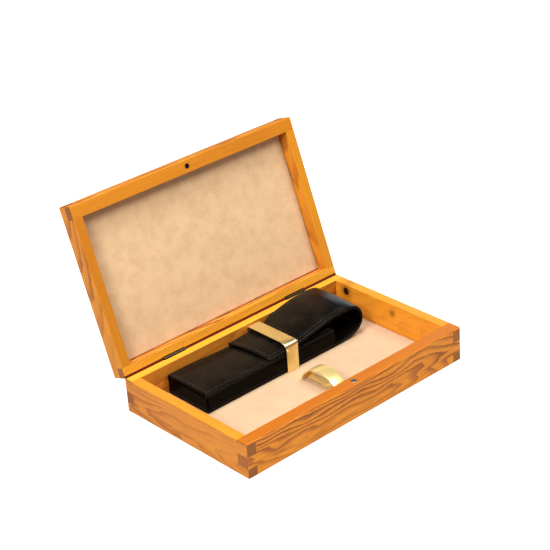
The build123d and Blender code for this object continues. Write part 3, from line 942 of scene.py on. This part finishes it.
lining_cloth, tree, shader = new_material("pouch_lining", Roughness=0.9, Specular_IOR_Level=0.15)
place = add_node(tree, "TexCoord").outputs["Object"]
values = {"Base": colour(24, 21, 20), "Shade": colour(15, 13, 12), "Patch_Size": 0.01}
nap = place_group(tree, suede, Position=place, **values)
tree.links.new(nap["Color"], shader.inputs["Base Color"])
add_bump(tree, shader, nap["Height"], 0.0001)
cup = lining_cup()
pouch_piece("pouch_lining", cup, capped(cup), lining_cloth, "pouch_lining")

stitch_pitch, stitch_half, stitch_inset = 0.0025, 0.00075, 0.0026
stitch_sides, stitch_rings = 7, 4
stitch_width, stitch_rise, stitch_slant = 0.00026, 0.00024, 0.18
seam_length = 0.082
face_columns = 24


def stitch_bead():
    """One stitch: a long round grain of thread, closed at two poles, lying slightly aslant."""
    turn = np.linspace(0, math.pi, stitch_rings + 2)[1:-1, None]
    round_angle = (np.arange(stitch_sides) / stitch_sides * 2 * math.pi)[None, :]
    along = np.repeat(stitch_half * np.cos(turn), stitch_sides, axis=1)
    across = stitch_width * np.sin(turn) * np.cos(round_angle)
    up = stitch_rise * np.sin(turn) * np.sin(round_angle)
    rings = np.stack((along, across, up), axis=-1).reshape(-1, 3)
    points = np.concatenate((rings, [(stitch_half, 0, 0), (-stitch_half, 0, 0)]))
    points[:, 1] += stitch_slant * points[:, 0]
    sides = grid_faces(stitch_rings, stitch_sides, wrap=True)[:, ::-1]
    faces = [list(face) for face in sides]
    pole, last_ring = len(rings), len(rings) - stitch_sides
    pairs = [(side, (side + 1) % stitch_sides) for side in range(stitch_sides)]
    faces += [[pole, after, side] for side, after in pairs]
    faces += [[pole + 1, last_ring + side, last_ring + after] for side, after in pairs]
    return points, faces


def sewn_line(line, across, start_gap, end_gap):
    """Stitches spaced evenly along a line: their middles, and their long, cross and up axes."""
    along = distance_along(line)
    places = np.arange(start_gap, along[-1] - end_gap, stitch_pitch)
    slope = np.gradient(line, axis=0)
    middle, forward, side = (
        np.stack([np.interp(places, along, part[:, axis]) for axis in range(3)], axis=-1)
        for part in (line, slope, across)
    )
    forward /= np.linalg.norm(forward, axis=1)[:, None]
    up = np.cross(forward, side)
    up /= np.linalg.norm(up, axis=1)[:, None]
    up *= np.sign(up[:, 2:])
    return middle, np.stack((forward, np.cross(up, forward), up), axis=1)


def face_line(points, inset_share):
    """The line along a slab's face at a share of its half width, and its direction across."""
    shares = slab_ring()[:face_columns, 0]
    low = np.searchsorted(shares, inset_share) - 1
    part = (inset_share - shares[low]) / (shares[low + 1] - shares[low])
    line = points[:, low] * (1 - part) + points[:, low + 1] * part
    return line, points[:, low + 1] - points[:, low]


def stitched_pouch():
    """Every stitch of the pouch: round the front panel, and along the flap's tip and edges."""
    bead, bead_faces = stitch_bead()
    share = 1 - stitch_inset / pouch_half
    seam_start = len(flap) - int(seam_length / flap_step)
    rows = []
    for side in (-share, share):
        line, across = face_line(panel, side)
        rows.append(sewn_line(line, across, 0.0040, 0.002))
        line, across = face_line(flap, side)
        rows.append(sewn_line(line[seam_start:], across[seam_start:], 0.0, 0.0032))
    panel_row = np.argmax(panel[:, 0, 0] > pouch_left + 0.0024)
    for points, row in ((panel, panel_row), (flap, len(flap) - 5)):
        line = points[row, 2:face_columns - 2]
        across = (points[row] - points[row - 2])[2:face_columns - 2]
        rows.append(sewn_line(line, across, 0.0014, 0.0012))
    middles = np.concatenate([row[0] for row in rows])
    axes = np.concatenate([row[1] for row in rows])
    points = middles[:, None, :] + np.einsum("bk,nkc->nbc", bead, axes)
    starts = range(0, len(middles) * len(bead), len(bead))
    faces = [[start + corner for corner in face] for start in starts for face in bead_faces]
    return points, faces


thread, tree, shader = new_material("pouch_thread", Roughness=0.5, Specular_IOR_Level=0.5)
place = add_node(tree, "TexCoord").outputs["Object"]
twist = noise(tree, stretched(tree, place, (5200.0, 3100.0, 3100.0)), 1.0, 1.0)
strands = spread(tree, twist, 0.35, 0.65)
tone = blend_colour(tree, strands, colour(74, 65, 55), colour(36, 30, 25))
tree.links.new(tone, shader.inputs["Base Color"])
add_bump(tree, shader, twist, 0.00008)
pouch_piece("pouch_stitching", *stitched_pouch(), thread, "pouch_thread")


# ---- Hinges, screws and catch -----------------------------------------------------------
# Two butt hinges of nickelled steel with slotted screws, a steel striker screw in the base's
# rim and a small round magnet, dark and unplated, in the lid's.  Each finish is its two
# colours, the pattern's scale along each axis and the least and greatest roughness.
along_leaf = (300.0, 2200.0, 2200.0)
bare_metal = {
    # Painted shade: the hinges' nickelled steel is given a dark brown, for the shadow of the gap they
    # sit in.
    "hinge_steel": (colour(88, 79, 66), colour(34, 29, 24), along_leaf, 0.28, 0.5),
    "screw_steel": (colour(190, 184, 172), colour(118, 110, 100), (1500.0,) * 3, 0.25, 0.45),
    "striker_steel": (colour(214, 212, 206), colour(150, 146, 140), (1800.0,) * 3, 0.2, 0.4),
    "catch_magnet": (colour(58, 54, 52), colour(28, 25, 24), (1200.0,) * 3, 0.3, 0.55),
}
for slot_name, finish in bare_metal.items():
    steel = metal_material(slot_name, *finish, 0.00001)
    for node, held in frame["nodes"].items():
        if held.data.materials and held.data.materials[0].name.split(".")[0] == slot_name:
            dress(node, steel)


# ---- Floor, light and camera ------------------------------------------------------------
# A plain white table under a soft light from above, with two soft lights at the front left
# and right and a low, cool glow from behind on the right.
floor_mesh = bpy.data.meshes.new("floor")
floor_mesh.from_pydata([(-3, -3, 0), (3, -3, 0), (3, 3, 0), (-3, 3, 0)], [], [(0, 1, 2, 3)])
floor = bpy.data.objects.new("floor", floor_mesh)
bpy.context.scene.collection.objects.link(floor)
floor.location.z = -0.0002
floor_finish, tree, shader = new_material(
    "floor", Base_Color=(0.5, 0.5, 0.5, 1), Roughness=0.8, Emission_Color=(1, 1, 1, 1)
)
seen = add_node(tree, "LightPath").outputs["Is Camera Ray"]
tree.links.new(spread(tree, seen, 0, 1, 0.05, 0.9, False), shader.inputs["Emission Strength"])
floor_mesh.materials.append(floor_finish)

world = bpy.data.worlds.new("studio")
world.use_nodes = True
world.node_tree.nodes["Background"].inputs["Color"].default_value = (1.0, 0.99, 0.97, 1)
world.node_tree.nodes["Background"].inputs["Strength"].default_value = 0.08
bpy.context.scene.world = world


def matrix_of(columns):
    """A Blender matrix from three axis columns and a place column."""
    return Matrix([list(map(float, row)) for row in columns] + [[0.0, 0.0, 0.0, 1.0]])


def soft_light(name, place, target, size, power, tint):
    """A square softbox of a given size that looks at a target."""
    lamp = bpy.data.lights.new(name, "AREA")
    lamp.size = size
    lamp.energy = power
    lamp.color = tint
    holder = bpy.data.objects.new(name, lamp)
    bpy.context.scene.collection.objects.link(holder)
    back = np.array(place) - np.array(target)
    back /= np.linalg.norm(back)
    right = np.cross((0.0, 1.0, 0.001), back)
    right /= np.linalg.norm(right)
    holder.matrix_world = matrix_of(np.column_stack((right, np.cross(back, right), back, place)))


soft_light("overhead", (-0.12, 0.05, 1.25), (0, 0.02, 0.03), 0.42, 12, (1.0, 0.98, 0.94))
soft_light("left_fill", (-0.95, -0.30, 0.95), (0, 0, 0.05), 0.5, 17, (1.0, 0.97, 0.92))
soft_light("right_strip", (0.45, -0.55, 1.10), (0.01, 0, 0.03), 0.5, 10, (1.0, 0.98, 0.94))
soft_light("far_glow", (1.0, 0.6, 0.28), (0.07, 0.03, 0.03), 0.5, 1.6, (0.85, 0.93, 1.0))

azimuth, elevation, roll = (math.radians(angle) for angle in (-41.03, 27.33, -3.91))
aim = np.array([0.0092, 0.0266, 0.0769])
camera_distance = 1.2086
level_away = np.array([math.sin(azimuth), -math.cos(azimuth), 0.0]) * math.cos(elevation)
away = level_away + np.array([0.0, 0.0, math.sin(elevation)])
level = np.array([math.cos(azimuth), math.sin(azimuth), 0.0])
upright = np.cross(away, level)
right = math.cos(roll) * level + math.sin(roll) * upright
upward = np.cross(away, right)
lens = bpy.data.cameras.new("camera")
lens.lens = 110.2
lens.sensor_width = 36.0
camera = bpy.data.objects.new("camera", lens)
bpy.context.scene.collection.objects.link(camera)
camera_place = aim + camera_distance * away
camera.matrix_world = matrix_of(np.column_stack((right, upward, away, camera_place)))
bpy.context.scene.camera = camera
bpy.context.scene.view_settings.view_transform = "Standard"
